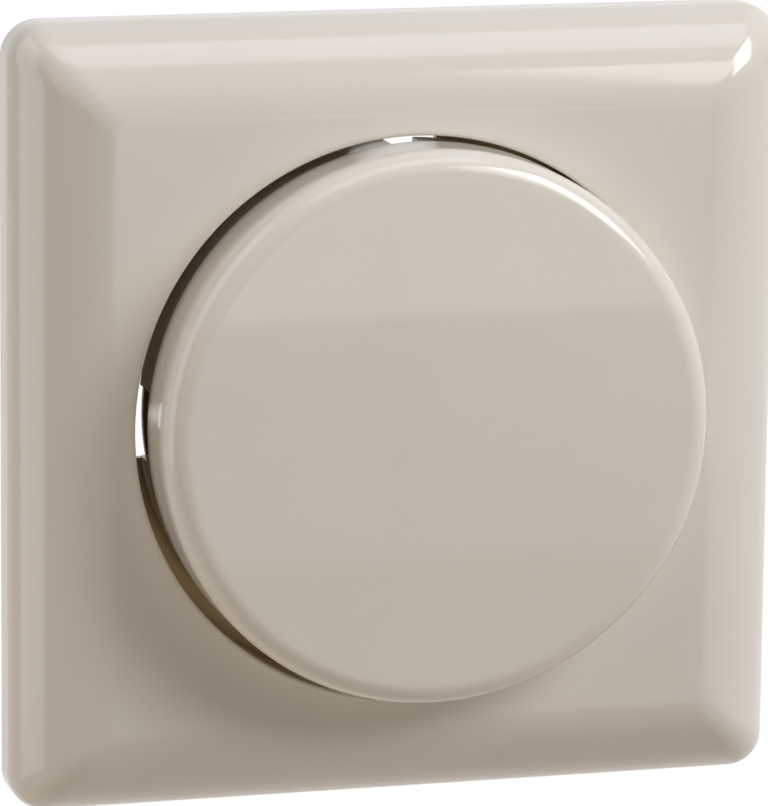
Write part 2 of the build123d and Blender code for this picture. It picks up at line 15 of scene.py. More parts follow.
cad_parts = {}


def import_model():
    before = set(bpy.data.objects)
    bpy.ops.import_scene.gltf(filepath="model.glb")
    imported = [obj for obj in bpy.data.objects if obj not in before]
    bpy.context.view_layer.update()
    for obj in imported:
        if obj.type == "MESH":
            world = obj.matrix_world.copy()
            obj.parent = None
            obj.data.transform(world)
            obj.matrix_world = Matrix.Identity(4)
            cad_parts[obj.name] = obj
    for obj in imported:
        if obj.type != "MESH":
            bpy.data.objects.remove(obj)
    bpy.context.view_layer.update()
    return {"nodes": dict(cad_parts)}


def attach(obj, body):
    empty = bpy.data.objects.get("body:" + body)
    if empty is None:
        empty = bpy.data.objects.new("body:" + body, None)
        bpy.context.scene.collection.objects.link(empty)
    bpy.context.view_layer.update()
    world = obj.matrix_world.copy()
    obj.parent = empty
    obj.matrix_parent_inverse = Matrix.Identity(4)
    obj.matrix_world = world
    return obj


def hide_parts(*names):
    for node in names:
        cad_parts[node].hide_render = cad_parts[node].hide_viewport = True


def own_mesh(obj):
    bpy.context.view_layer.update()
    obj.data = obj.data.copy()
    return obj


MM = 0.001
IMAGE_WIDTH = 768
IMAGE_HEIGHT = 806
# Edges that turn by more than these angles, in degrees, are shaded as sharp.
SHARP_ON_CURVES = 50
SHARP_ON_BLOCKS = 40
BEVEL_SEGMENTS = 2
WHITE = "#FFFFFF"
LOG = logging.getLogger("pushbutton")


def linear(hex_code: str) -> tuple[float, float, float, float]:
    """Turn an sRGB colour into the linear values that shaders use.

    The sRGB curve is a straight line up to a knee near black, and a power of the value above it.

    Args:
        hex_code: the colour as "#RRGGBB".

    Returns:
        A tuple of red, green, blue and an alpha of 1.
    """
    knee, slope, offset, power = 0.04045, 12.92, 0.055, 2.4
    parts = np.array([int(hex_code[first : first + 2], 16) for first in (1, 3, 5)]) / 255
    straight = np.where(parts <= knee, parts / slope, ((parts + offset) / (1 + offset)) ** power)
    return (*straight.tolist(), 1.0)


def add_node(
    tree: bpy.types.NodeTree, kind: str, settings: dict | None = None, **links: bpy.types.NodeSocket
) -> bpy.types.Node:
    """Add one shader node.

    Args:
        tree: the node tree that takes it.
        kind: the node's Blender type, without the "ShaderNode" in front.
        settings: node properties and constant socket values, by name.
        links: output sockets to join to the inputs of that name, with _ for a space.

    Returns:
        The new node.
    """
    node = tree.nodes.new("ShaderNode" + kind)
    for name, value in (settings or {}).items():
        if name in node.inputs:
            node.inputs[name].default_value = value
        else:
            setattr(node, name, value)
    for name, output in links.items():
        tree.links.new(output, node.inputs[name.replace("_", " ")])
    return node


# Surfaces


def arc(centre: tuple, radius: float, start: float, end: float, steps: int) -> np.ndarray:
    """Points of a circular arc in a profile's plane.

    Each lies at the radius times the cosine and the sine of its angle from the centre.

    Args:
        centre: the arc's centre.
        radius: its radius.
        start: first angle in degrees, from the first axis towards the second.
        end: last angle in degrees.
        steps: number of points.

    Returns:
        An array of steps rows and two columns.
    """
    turn = np.radians(np.linspace(start, end, steps))
    return np.stack([centre[0] + radius * np.cos(turn), centre[1] + radius * np.sin(turn)], axis=1)


def tube_faces(rows: int, columns: int, wrap_rows: bool) -> np.ndarray:
    """Quads that join a grid whose columns run round a ring.

    Each quad takes a point, its neighbour in the next row, that one's neighbour in the next column and the
    point's own neighbour in the next column.

    Args:
        rows: number of rings.
        columns: points in each ring.
        wrap_rows: whether the last ring joins the first.

    Returns:
        An integer array with four columns.
    """
    row = np.arange(rows if wrap_rows else rows - 1)[:, None]
    column = np.arange(columns)[None, :]
    after_row = (row + 1) % rows
    after_column = (column + 1) % columns
    quads = [
        row * columns + column,
        after_row * columns + column,
        after_row * columns + after_column,
        row * columns + after_column,
    ]
    return np.stack([np.broadcast_to(quad, (len(row), columns)) for quad in quads], axis=-1).reshape(-1, 4)


def capped_faces(rows: int, columns: int) -> list:
    """The faces of a tube of rings that is closed by one polygon at each end.

    Args:
        rows: number of rings.
        columns: points in each ring.

    Returns:
        Lists of point numbers, all turned the same way.
    """
    first_cap = list(range(columns))
    last_cap = list(range(rows * columns - 1, (rows - 1) * columns - 1, -1))
    return [*tube_faces(rows, columns, False).tolist(), first_cap, last_cap]


def make_mesh(name: str, points_mm: np.ndarray, faces: list) -> bpy.types.Object:
    """Make a smooth-shaded object from points in the switch's own frame.

    Args:
        name: the object's name.
        points_mm: points in millimetres, three columns.
        faces: lists of point numbers, one list for each face.

    Returns:
        The new object, standing at the origin.
    """
    mesh = bpy.data.meshes.new(name)
    mesh.from_pydata((points_mm * MM).tolist(), [], faces)
    mesh.polygons.foreach_set("use_smooth", np.ones(len(mesh.polygons), dtype=bool))
    mesh.validate()
    obj = bpy.data.objects.new(name, mesh)
    bpy.context.scene.collection.objects.link(obj)
    return obj


def face_out(obj: bpy.types.Object) -> bpy.types.Object:
    """Turn a closed surface right side out if its volume comes out negative.

    The volume is a sixth of the sum, over all triangles, of the first corner's product with the cross
    product of the other two.

    Args:
        obj: an object whose faces all point outwards or all inwards.

    Returns:
        The same object.
    """
    mesh = obj.data
    mesh.calc_loop_triangles()
    corners = np.empty(len(mesh.loop_triangles) * 3, np.int32)
    mesh.loop_triangles.foreach_get("vertices", corners)
    points = np.empty(len(mesh.vertices) * 3, np.float32)
    mesh.vertices.foreach_get("co", points)
    first, second, third = points.reshape(-1, 3)[corners.reshape(-1, 3)].astype(float).transpose(1, 0, 2)
    if np.einsum("ij,ij->i", first, np.cross(second, third)).sum() < 0:
        mesh.flip_normals()
    return obj


def sharpen(obj: bpy.types.Object, degrees: float) -> bpy.types.Object:
    """Mark edges that turn by more than this angle as sharp."""
    obj.data.set_sharp_from_angle(angle=np.radians(degrees))
    return obj


def prism(name: str, outline: np.ndarray, thickness: float, place: Matrix, bevel: float) -> bpy.types.Object:
    """A flat outline made into a block, with its edges slightly rounded.

    Args:
        name: the object's name.
        outline: two columns of millimetres, in the block's own first two axes.
        thickness: the block's full thickness along its own third axis.
        place: rotation and place of the block, in millimetres.
        bevel: radius of the rounded edges.

    Returns:
        The new object, standing at the origin.
    """
    count = len(outline)
    flat = np.concatenate([outline, np.zeros((count, 1))], axis=1)
    lift = np.array([0, 0, thickness / 2])
    points = np.concatenate([flat - lift, flat + lift])
    turned = points @ np.array(place.to_3x3()).T + np.array(place.translation)
    obj = face_out(make_mesh(name, turned, capped_faces(2, count)))
    rounding = obj.modifiers.new("Edges", "BEVEL")
    rounding.width = bevel * MM
    rounding.segments = BEVEL_SEGMENTS
    rounding.limit_method = "ANGLE"
    return sharpen(obj, SHARP_ON_BLOCKS)


# Finishes


@dataclass(frozen=True)
class Finish:
    """What all finishes share: a name, a colour, how the surface scatters light, and its fine grain."""

    name: str
    colour: str
    roughness: float
    metallic: float = 0.0
    ior: float = 1.5
    grain_mm: float = 0.8
    grain_depth_mm: float = 0.002
    grain_detail: float = 3.0
    grain_stretch: tuple = (1.0, 1.0, 1.0)
    patch_mm: float = 16.667
    colour_change: float = 0.03

    def build(self) -> bpy.types.Material:
        """Make the material: a Principled surface with fine relief and a faint, cloudy change of colour.

        Returns:
            The new material.
        """
        material = bpy.data.materials.new(self.name)
        material.use_nodes = True
        tree = material.node_tree
        tree.nodes.clear()
        place = add_node(tree, "TexCoord").outputs["Object"]
        stretched = add_node(tree, "Mapping", {"Scale": self.grain_stretch}, Vector=place).outputs["Vector"]
        grain = {"Scale": 1 / (self.grain_mm * MM), "Detail": self.grain_detail}
        relief = add_node(tree, "TexNoise", grain, Vector=stretched)
        depth = {"Distance": self.grain_depth_mm * MM}
        bump = add_node(tree, "Bump", depth, Height=relief.outputs["Fac"])
        patch = add_node(tree, "TexNoise", {"Scale": 1 / (self.patch_mm * MM)}, Vector=place)
        change = {"To Min": 1 - self.colour_change, "To Max": 1 + self.colour_change}
        tone = add_node(tree, "MapRange", change, Value=patch.outputs["Fac"])
        tint = add_node(tree, "VectorMath", {"operation": "SCALE"}, Scale=tone.outputs["Result"])
        tint.inputs[0].default_value = linear(self.colour)[:3]
        shader = add_node(
            tree,
            "BsdfPrincipled",
            {"Roughness": self.roughness, "Metallic": self.metallic, "IOR": self.ior},
            Normal=bump.outputs["Normal"],
            Base_Color=tint.outputs["Vector"],
        )
        add_node(tree, "OutputMaterial", Surface=shader.outputs["BSDF"])
        return material


class Finishes(Enum):
    """Every finish on the pushbutton, named for its material and process, and for the painted shade or light
    that some carry.
    """

    # Thermoplastic moulded in a polished tool is glossy and mirrors the lamps with soft edges. Its grain is
    # drawn coarser than the real one, so that it can just be seen to stir the reflections.
    COVER = Finish("Cream moulded thermoplastic, glossy", "#E9E4DA", 0.11, ior=1.54, grain_mm=1.6)
    # The button's copy is a little lighter than the cover's: painted light on the button's face.
    BUTTON = Finish("Cream moulded thermoplastic, button, painted lighter", "#EEE9DF", 0.15, ior=1.54, grain_mm=1.6)
    # Polyamide moulded in an eroded tool is satin, with wide soft highlights.
    SLIDER = Finish("Natural moulded polyamide", "#D9D5C8", 0.45, ior=1.53)
    # The guide plate's brown is painted shade: the warm brown of the shaded gap round the button.
    GUIDE = Finish("Moulded polyamide, brown of painted shade", "#8F714A", 0.45, ior=1.53)
    LEVER = Finish("Dark grey moulded polyamide", "#5B5A57", 0.42, ior=1.53)
    # Thermoset with mineral filler is nearly matt.
    BASE = Finish("Light grey moulded thermoset", "#C4C1B6", 0.5, ior=1.6)
    # Rolled steel sheet, zinc-plated, with fine lines along the rolling direction. Its dull yellow-brown
    # colour is painted shade: the warm brown of the shaded gap round the button, where the ring is seen.
    SHADED_RING_STEEL = Finish(
        "Zinc-plated steel, painted gap shade", "#AC9068", 0.38, metallic=1.0, grain_mm=0.25, grain_stretch=(0.1, 1, 1)
    )
    # Rolled brass strip shines yellow, with lines along the strip; drawn tube is plainer.
    BRASS = Finish(
        "Rolled brass strip", "#CDB06A", 0.28, metallic=1.0, grain_mm=0.2, grain_stretch=(1, 1, 0.1)
    )
    RIVET = Finish("Drawn brass tube", "#CBB27A", 0.3, metallic=1.0, grain_mm=0.3)
    # Silver alloy is the palest of the metals here.
    SILVER = Finish("Silver alloy contact", "#DAD9D4", 0.3, metallic=1.0, grain_mm=0.3)
    # Drawn or rolled spring steel is grey, with narrow highlights along the wire or strip.
    SPRING = Finish("Drawn spring steel wire", "#A5A5A3", 0.26, metallic=1.0, grain_mm=0.2)
    STRIP = Finish("Rolled spring steel strip", "#ABABA8", 0.3, metallic=1.0, grain_mm=0.2)


class MaterialShelf:
    """Makes each finish once and puts it on objects."""

    def __init__(self) -> None:
        """Start with an empty shelf."""
        self.made: dict[Finishes, bpy.types.Material] = {}

    def put(self, obj: bpy.types.Object, finish: Finishes) -> None:
        """Give an object this finish alone.

        Args:
            obj: the object.
            finish: the finish, whose material is made the first time it is asked for.
        """
        if finish not in self.made:
            self.made[finish] = finish.value.build()
        obj.data.materials.clear()
        obj.data.materials.append(self.made[finish])
        if len(obj.data.polygons):
            obj.data.polygons.foreach_set("material_index", np.zeros(len(obj.data.polygons), np.int32))


# Cover frame


@dataclass
class CoverFrame:
    """The square cover frame: a moulded shell with pillow borders round a flat plateau."""

    half: float = 40.0
    height: float = 10.9
    side_height: float = 2.65
    shoulder_radius: float = 4.4
    bevel_radius: float = 12.0
    shoulder_slope: float = 62.0
    crest_slope: float = 10.0
    crest_blend: float = 0.35
    corner_radius: float = 3.8
    mitre_radius: float = 1.3
    wall: float = 1.9
    inner_corner_share: float = 0.7
    least_corner: float = 0.6
    opening_radius: float = 28.7
    opening_edge: float = 0.35
    collar_wall: float = 1.7
    collar_end: float = 5.0
    collar_edge: float = 0.15
    hook_radius: float = 31.6
    hook_thickness: float = 1.4
    hook_width: float = 4.8
    hook_barb: float = 0.8
    hook_reach: float = 2.2
    hook_taper: float = 0.1
    hook_root: float = 0.4
    hook_clearance: float = 0.15
    hook_rounding: float = 0.12
    ring_half: float = 35.5
    rib_thickness: float = 1.6
    rib_reach: float = 2.4
    rib_foot: float = 1.0
    rib_side_top: float = 3.4
    rib_shoulder: float = 7.6
    rib_shoulder_inset: float = 0.4
    rib_top: float = 9.2
    rib_root: float = 0.3
    rib_rounding: float = 0.1
    shoulder_steps: int = 10
    bevel_steps: int = 30
    inner_bevel_steps: int = 16
    crest_steps: int = 12
    opening_steps: int = 6
    plateau_shares: tuple = (0.12, 0.3, 0.5, 0.7, 0.88, 1.0)
    corner_span: tuple = (38, 52)
    side_columns: int = 38
    corner_columns: int = 56
    body: str = "insert"
    node: str = "cover_frame"
    slot: str = "cover_plastic"

    def border(self, wall: float, steps: int) -> np.ndarray:
        """The border's section from the wall up to the plateau.

        The side is straight, then an arc of the shoulder radius turns it to the shoulder slope. A wider arc
        takes it on to the crest slope, with its heights stretched in proportion so that it ends at the
        plateau. The corner radius goes from the mitre's to the corner's with the square of the slope's sine.

        Args:
            wall: how far below the outer surface the section lies.
            steps: points on the wide arc.

        Returns:
            Three columns: inset from the side, height and corner radius.
        """
        start, end = np.radians(self.shoulder_slope), np.radians(self.crest_slope)
        slope = np.radians(np.linspace(90, self.shoulder_slope, self.shoulder_steps))
        shoulder_inset = self.shoulder_radius * (1 - np.sin(slope))
        shoulder_height = self.side_height + self.shoulder_radius * np.cos(slope)
        wide = np.radians(np.linspace(self.shoulder_slope, self.crest_slope, steps))[1:]
        share = (np.cos(wide) - np.cos(start)) / (np.cos(end) - np.cos(start))
        wide_inset = shoulder_inset[-1] + self.bevel_radius * (np.sin(start) - np.sin(wide))
        wide_height = shoulder_height[-1] + (self.height - shoulder_height[-1]) * share
        inset = np.concatenate([[0.0, 0.0], shoulder_inset, wide_inset])
        height = np.concatenate([[0.0, self.side_height / 2], shoulder_height, wide_height])
        slopes = np.concatenate([[np.pi / 2] * 2, slope, wide])
        corner = self.mitre_radius + (self.corner_radius - self.mitre_radius) * np.sin(slopes) ** 2
        inset = inset + wall * np.sin(slopes)
        height = np.where(height > 0, height - wall * np.cos(slopes), 0.0)
        corner = np.maximum(corner - wall * self.inner_corner_share, self.least_corner)
        return np.stack([inset, height, corner], axis=1)

    def soften_crest(self, section: np.ndarray) -> np.ndarray:
        """Replace the section's meeting with the plateau by a parabola that touches both.

        Going along it, the start counts by the square of the way that is left, the finish by the square of
        the way gone, and the corner between them by twice the product of the two.

        Args:
            section: the border's section, as inset, height and corner radius.

        Returns:
            The section with its last points replaced, in the same three columns.
        """
        crest_inset, crest_height, crest_corner = section[-1]
        kept = section[section[:, 0] < crest_inset - self.crest_blend]
        start = kept[-1]
        finish = np.array([crest_inset + self.crest_blend, crest_height, crest_corner])
        middle = np.array([crest_inset, crest_height, crest_corner])
        share = np.linspace(0, 1, self.crest_steps)[1:, None]
        curve = (1 - share) ** 2 * start + 2 * share * (1 - share) * middle + share**2 * finish
        return np.concatenate([kept, curve])

    def directions(self) -> np.ndarray:
        """Angles round the opening, closer together at the corners than along the sides.

        Returns:
            The angles of all columns, in radians.
        """
        start, end = self.corner_span
        quarter = np.concatenate([
            np.linspace(0, start, self.side_columns, endpoint=False),
            np.linspace(start, end, self.corner_columns, endpoint=False),
            np.linspace(end, 90, self.side_columns, endpoint=False),
        ])
        return np.radians(np.concatenate([quarter + turn for turn in (0, 90, 180, 270)]))

    def square_ring(self, turn: np.ndarray, inset: float, corner: float) -> np.ndarray:
        """Distances from the centre to a rounded square, seen in each direction.

        A ray meets the straight side at the half width over its cosine. Near a corner it meets the corner's
        circle instead, at the larger root of the quadratic for a ray and a circle.

        Args:
            turn: the directions, in radians.
            inset: how far inside the frame's edge the square lies.
            corner: its corner radius.

        Returns:
            One distance for each direction.
        """
        half = self.half - inset
        folded = np.abs((turn + np.pi / 4) % (np.pi / 2) - np.pi / 4)
        side = half / np.cos(folded)
        centre = half - corner
        along = centre * (np.cos(folded) + np.sin(folded))
        inside = np.maximum(along**2 - 2 * centre**2 + corner**2, 0)
        return np.where(side * np.sin(folded) > centre, along + np.sqrt(inside), side)

    def shell(self) -> bpy.types.Object:
        """The moulding itself, as one closed surface that runs round its whole section.

        A grid has one row for each point of the section and one column for each direction. A row's radius is
        a rounded square's on the border, the opening's in the middle, and a mix of the two across the
        plateau.

        Returns:
            The new object.
        """
        turn = self.directions()
        outer = self.soften_crest(self.border(0.0, self.bevel_steps))
        inner = self.border(self.wall, self.inner_bevel_steps)[::-1]
        rings = [(self.square_ring(turn, inset, corner), height) for inset, height, corner in outer]
        edge_centre = (self.opening_radius + self.opening_edge, self.height - self.opening_edge)
        edge = arc(edge_centre, self.opening_edge, 90, 180, self.opening_steps)
        last_square = rings[-1][0]
        for share in self.plateau_shares:
            rings.append((last_square + (edge[0][0] - last_square) * share, self.height))
        ease, collar_outside = self.collar_edge, self.opening_radius + self.collar_wall
        rounds = [
            *edge[1:],
            (self.opening_radius, self.collar_end + ease),
            (self.opening_radius + ease, self.collar_end),
            (collar_outside - ease, self.collar_end),
            (collar_outside, self.collar_end + ease),
            (collar_outside, self.height - self.wall),
        ]
        rings += [(np.full_like(turn, radius), height) for radius, height in rounds]
        rings += [(self.square_ring(turn, inset, corner), height) for inset, height, corner in inner]
        radius = np.stack([ring for ring, _ in rings])
        height = np.broadcast_to(np.array([level for _, level in rings])[:, None], radius.shape)
        points = np.stack([radius * np.cos(turn), -height, radius * np.sin(turn)], axis=-1).reshape(-1, 3)
        faces = tube_faces(len(rings), len(turn), True).tolist()
        return sharpen(face_out(make_mesh("cover_frame_shell", points, faces)), SHARP_ON_CURVES)

    def radial_place(self, degrees: float) -> Matrix:
        """A block's place on a radius: its first axis outwards, its second towards the room.

        Args:
            degrees: the radius's angle from the right, anticlockwise.

        Returns:
            The matrix that turns the block.
        """
        turn = np.radians(degrees)
        out = Vector((np.cos(turn), 0, np.sin(turn)))
        front = Vector((0, -1, 0))
        return Matrix((out, front, out.cross(front))).transposed().to_4x4()

    def blocks(
        self, name: str, outline: list, thickness: float, first_angle: float, rounding: float
    ) -> list[bpy.types.Object]:
        """Four like blocks at quarter turns.

        Args:
            name: what their names start with.
            outline: pairs of radius and height.
            thickness: how wide they are across their radius.
            first_angle: the first one's angle, in degrees.
            rounding: radius of their edges.

        Returns:
            The four objects.
        """
        places = [self.radial_place(first_angle + turn) for turn in (0, 90, 180, 270)]
        return [
            prism(f"{name}_{index}", np.array(outline), thickness, place, rounding)
            for index, place in enumerate(places)
        ]

    def hooks(self) -> list[bpy.types.Object]:
        """The four snap hooks on the diagonals, whose barbs catch behind the support ring.

        Returns:
            The four objects.
        """
        near, far = self.hook_radius - self.hook_thickness / 2, self.hook_radius + self.hook_thickness / 2
        top = self.height - self.wall + self.hook_root
        outline = [
            (near, top),
            (far, top),
            (far, -self.hook_clearance),
            (far + self.hook_barb, -self.hook_clearance),
            (far - self.hook_taper, -self.hook_reach),
            (near, -self.hook_reach),
        ]
        return self.blocks("cover_frame_hook", outline, self.hook_width, 45, self.hook_rounding)

    def ribs(self) -> list[bpy.types.Object]:
        """The four ribs that seat the frame on the support ring.

        Returns:
            The four objects.
        """
        inside = self.half - self.wall + self.rib_root
        near = self.ring_half - self.rib_reach
        outline = [
            (near, self.rib_foot),
            (inside, self.rib_foot),
            (inside, self.rib_side_top),
            (self.ring_half - self.rib_shoulder_inset, self.rib_shoulder),
            (near, self.rib_top),
        ]
        return self.blocks("cover_frame_rib", outline, self.rib_thickness, 0, self.rib_rounding)

    def dress(self, shelf: MaterialShelf) -> None:
        """Build the frame's pieces, colour them and put them in place of the CAD node.

        Args:
            shelf: where the finishes come from.
        """
        pieces = [self.shell(), *self.hooks(), *self.ribs()]
        for piece in pieces:
            shelf.put(piece, Finishes.COVER)
            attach(piece, self.body)
        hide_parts(self.node)


# Push button


@dataclass
class PushButton:
    """The round button: a straight-sided head with three shallow facets on a slotted skirt."""

    radius: float = 28.0
    face_height: float = 19.1
    lip_height: float = 10.2
    edge_radius: float = 2.4
    facet_start: float = 12.3
    facet_tilt: float = 3.2
    facet_blend: float = 1.1
    skirt_radius: float = 27.4
    skirt_wall: float = 1.3
    skirt_end: float = 3.6
    head_wall: float = 2.7
    side_slot: float = 7.3
    key_slot: float = 3.2
    key_offset: float = 0.75
    side_offset: float = 0.35
    shift: tuple = (0.6, 0.1)
    pole_radius: float = 0.25
    lip_edge: float = 0.12
    skirt_edge: float = 0.15
    skirt_root: float = 0.4
    columns: int = 288
    face_rings: int = 64
    rim_rings: int = 20
    skirt_columns: int = 60
    body: str = "push_button"
    node: str = "button"
    slot: str = "button_plastic"

    def facet_drop(self, up: np.ndarray) -> np.ndarray:
        """How far the face lies below its middle at each height on the button.

        It is nothing on the middle facet, and past the crease it is the facet's slope times the distance
        beyond. Across the crease the slope grows evenly, so there the distance gives way to its own square,
        taken from where the bend starts, over twice the width of the bend.

        Args:
            up: distances above the button's centre line.

        Returns:
            The drops, in millimetres.
        """
        slope = np.tan(np.radians(self.facet_tilt))
        beyond = np.abs(up) - self.facet_start
        blend = self.facet_blend
        bend = (beyond + blend) ** 2 / (4 * blend)
        return slope * np.where(beyond <= -blend, 0, np.where(beyond < blend, bend, beyond))

    def head(self) -> bpy.types.Object:
        """The head: rings from the middle of the face over the rounded rim and back under it.

        A grid has one row for each ring and one column for each direction. The rim is a quarter circle, and
        the drop of the facets is taken off the height of every point in front of the lip.

        Returns:
            The new object.
        """
        flat = self.radius - self.edge_radius
        face = np.linspace(self.pole_radius, flat, self.face_rings, endpoint=False)
        rim = np.radians(np.linspace(0, 90, self.rim_rings))
        out = np.concatenate([face, flat + self.edge_radius * np.sin(rim)])[:, None]
        down = np.concatenate([np.zeros(len(face)), self.edge_radius * (1 - np.cos(rim))])[:, None]
        turn = np.linspace(0, 2 * np.pi, self.columns, endpoint=False)
        front = self.face_height - self.facet_drop(out * np.sin(turn)) - down
        inside, ceiling = self.skirt_radius - self.skirt_wall, self.face_height - self.head_wall
        under = np.array([
            (self.radius, self.lip_height + self.lip_edge),
            (self.radius - self.lip_edge, self.lip_height),
            (inside, self.lip_height),
            (inside, ceiling),
            (self.pole_radius, ceiling),
        ])
        radii = np.concatenate([out, under[:, :1]])
        back = np.broadcast_to(under[:, 1:], (len(under), self.columns))
        heights = np.concatenate([front, back])
        points = np.stack(
            [self.shift[0] + radii * np.cos(turn), -heights, self.shift[1] + radii * np.sin(turn)], axis=-1
        )
        faces = capped_faces(len(radii), self.columns)
        return sharpen(face_out(make_mesh("button_head", points.reshape(-1, 3), faces)), SHARP_ON_CURVES)

    def skirt(self, name: str, start: float, end: float) -> bpy.types.Object:
        """One stretch of the skirt between two slots, as a closed curved block.

        The section's corners are carried round the button's centre line, in equal steps of angle.

        Args:
            name: the object's name.
            start: the angle where it starts, in degrees.
            end: the angle where it ends.

        Returns:
            The new object.
        """
        turn = np.radians(np.linspace(start, end, self.skirt_columns))
        inner, outer = self.skirt_radius - self.skirt_wall, self.skirt_radius
        back, front, ease = self.skirt_end, self.lip_height + self.skirt_root, self.skirt_edge
        section = np.array([
            (inner, front),
            (outer, front),
            (outer, back + ease),
            (outer - ease, back),
            (inner + ease, back),
            (inner, back + ease),
        ])
        radius, height = section[:, :1], section[:, 1:]
        points = np.stack(
            [
                self.shift[0] + radius * np.cos(turn),
                np.broadcast_to(-height, (len(section), len(turn))),
                self.shift[1] + radius * np.sin(turn),
            ],
            axis=-1,
        ).transpose(1, 0, 2)
        faces = capped_faces(len(turn), len(section))
        return sharpen(face_out(make_mesh(name, points.reshape(-1, 3), faces)), SHARP_ON_BLOCKS)

    def slot_edges(self, middle: float, width: float) -> np.ndarray:
        """The angles of a slot's two edges, which are the arcsines of their places over the skirt's radius.

        Args:
            middle: how far the slot's middle is from the centre line.
            width: the slot's width.

        Returns:
            Two angles in degrees.
        """
        return np.degrees(np.arcsin(np.array([middle - width / 2, middle + width / 2]) / self.skirt_radius))

    def skirts(self) -> list[bpy.types.Object]:
        """The four stretches of skirt, each from one slot's end to the next one's start.

        Returns:
            The four objects.
        """
        side = self.slot_edges(self.side_offset, self.side_slot)
        key = self.slot_edges(self.key_offset, self.key_slot)
        edges = np.concatenate([side, key + 90, side + 180, key + 270])
        starts, ends = edges[1::2], np.append(edges[2::2], edges[0] + 360)
        return [
            self.skirt(f"button_skirt_{index}", start, end)
            for index, (start, end) in enumerate(zip(starts, ends))
        ]

    def dress(self, shelf: MaterialShelf) -> None:
        """Build the button's pieces, colour them and put them in place of the CAD node.

        Args:
            shelf: where the finishes come from.
        """
        pieces = [self.head(), *self.skirts()]
        for piece in pieces:
            shelf.put(piece, Finishes.BUTTON)
            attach(piece, self.body)
        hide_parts(self.node)


# Springs


@dataclass
class CoilSpring:
    """A compression spring of round wire with closed ends."""

    node: str
    body: str
    joint: str
    centre: tuple
    front_depth: float
    length: float
    mean_radius: float
    wire: float
    turns: float
    keep: float
    anchor_depth: float
    closed_turns: float = 0.75
    steps_per_turn: int = 40
    sides: int = 12
    slot: str = "spring_steel"

    def climb(self, turn: np.ndarray) -> np.ndarray:
        """How far the wire's centre has climbed after this many turns.

        In the closed turns at each end it climbs by the wire's thickness a turn, and evenly between them.

        Args:
            turn: numbers of turns from the front end.

        Returns:
            Distances along the spring, in millimetres.
        """
        whole = self.length - self.wire
        flat = self.closed_turns * self.wire
        places = [0, self.closed_turns, self.turns - self.closed_turns, self.turns]
        return np.interp(turn, places, [0, flat, whole - flat, whole])

    def wire_surface(self) -> bpy.types.Object:
        """The wire as a round tube along a helix.

        Each ring of the tube stands square to the helix: one of its axes points away from the spring's
        centre line and the other is square to that and to the wire's direction.

        Returns:
            The new object.
        """
        turn = np.linspace(0, self.turns, int(self.turns * self.steps_per_turn))
        angle = 2 * np.pi * turn
        out = np.stack([np.cos(angle), np.zeros_like(angle), np.sin(angle)], axis=1)
        depth = self.front_depth + self.wire / 2 + self.climb(turn)
        line = self.mean_radius * out + np.stack(
            [np.full_like(angle, self.centre[0]), depth, np.full_like(angle, self.centre[1])], axis=1
        )
        along = np.gradient(line, axis=0)
        along /= np.linalg.norm(along, axis=1, keepdims=True)
        across = np.cross(along, out)
        side = np.linspace(0, 2 * np.pi, self.sides, endpoint=False)[None, :, None]
        ring = np.cos(side) * out[:, None] + np.sin(side) * across[:, None]
        points = line[:, None] + self.wire / 2 * ring
        wire = make_mesh(f"{self.node}_wire", points.reshape(-1, 3), capped_faces(len(turn), self.sides))
        return sharpen(face_out(wire), SHARP_ON_CURVES)

    def dress(self, shelf: MaterialShelf) -> None:
        """Build the spring, colour it and put it in place of its CAD node.

        Args:
            shelf: where the finish comes from.
        """
        wire = self.wire_surface()
        shelf.put(wire, Finishes.SPRING)
        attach(wire, self.body)
        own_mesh(wire)
        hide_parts(self.node)


def springs(travel: float = 1.7, contact_travel: float = 1.15) -> list[CoilSpring]:
    """The four return springs under the slider and the contact spring on its stem.

    Args:
        travel: how far the button goes in.
        contact_travel: how far the moving contact goes in.

    Returns:
        The five springs.
    """
    length, contact_length = 6.0, 5.15
    post_x, post_z = 17.0, 7.0
    made = [
        CoilSpring(
            node=f"return_spring_{row}_{side}",
            body="insert",
            joint="button_press",
            centre=(post_x * x_sign, post_z * z_sign),
            front_depth=-9.4,
            length=length,
            mean_radius=3.65,
            wire=0.7,
            turns=4.5,
            keep=(length - travel) / length,
            anchor_depth=-3.4,
        )
        for row, z_sign in (("upper", 1), ("lower", -1))
        for side, x_sign in (("left", -1), ("right", 1))
    ]
    made.append(
        CoilSpring(
            node="contact_spring",
            body="push_button",
            joint="button_press",
            centre=(0.0, 0.0),
            front_depth=3.2,
            length=contact_length,
            mean_radius=3.2,
            wire=0.6,
            turns=4.5,
            keep=(contact_length - travel + contact_travel) / contact_length,
            anchor_depth=3.2,
        )
    )
    return made


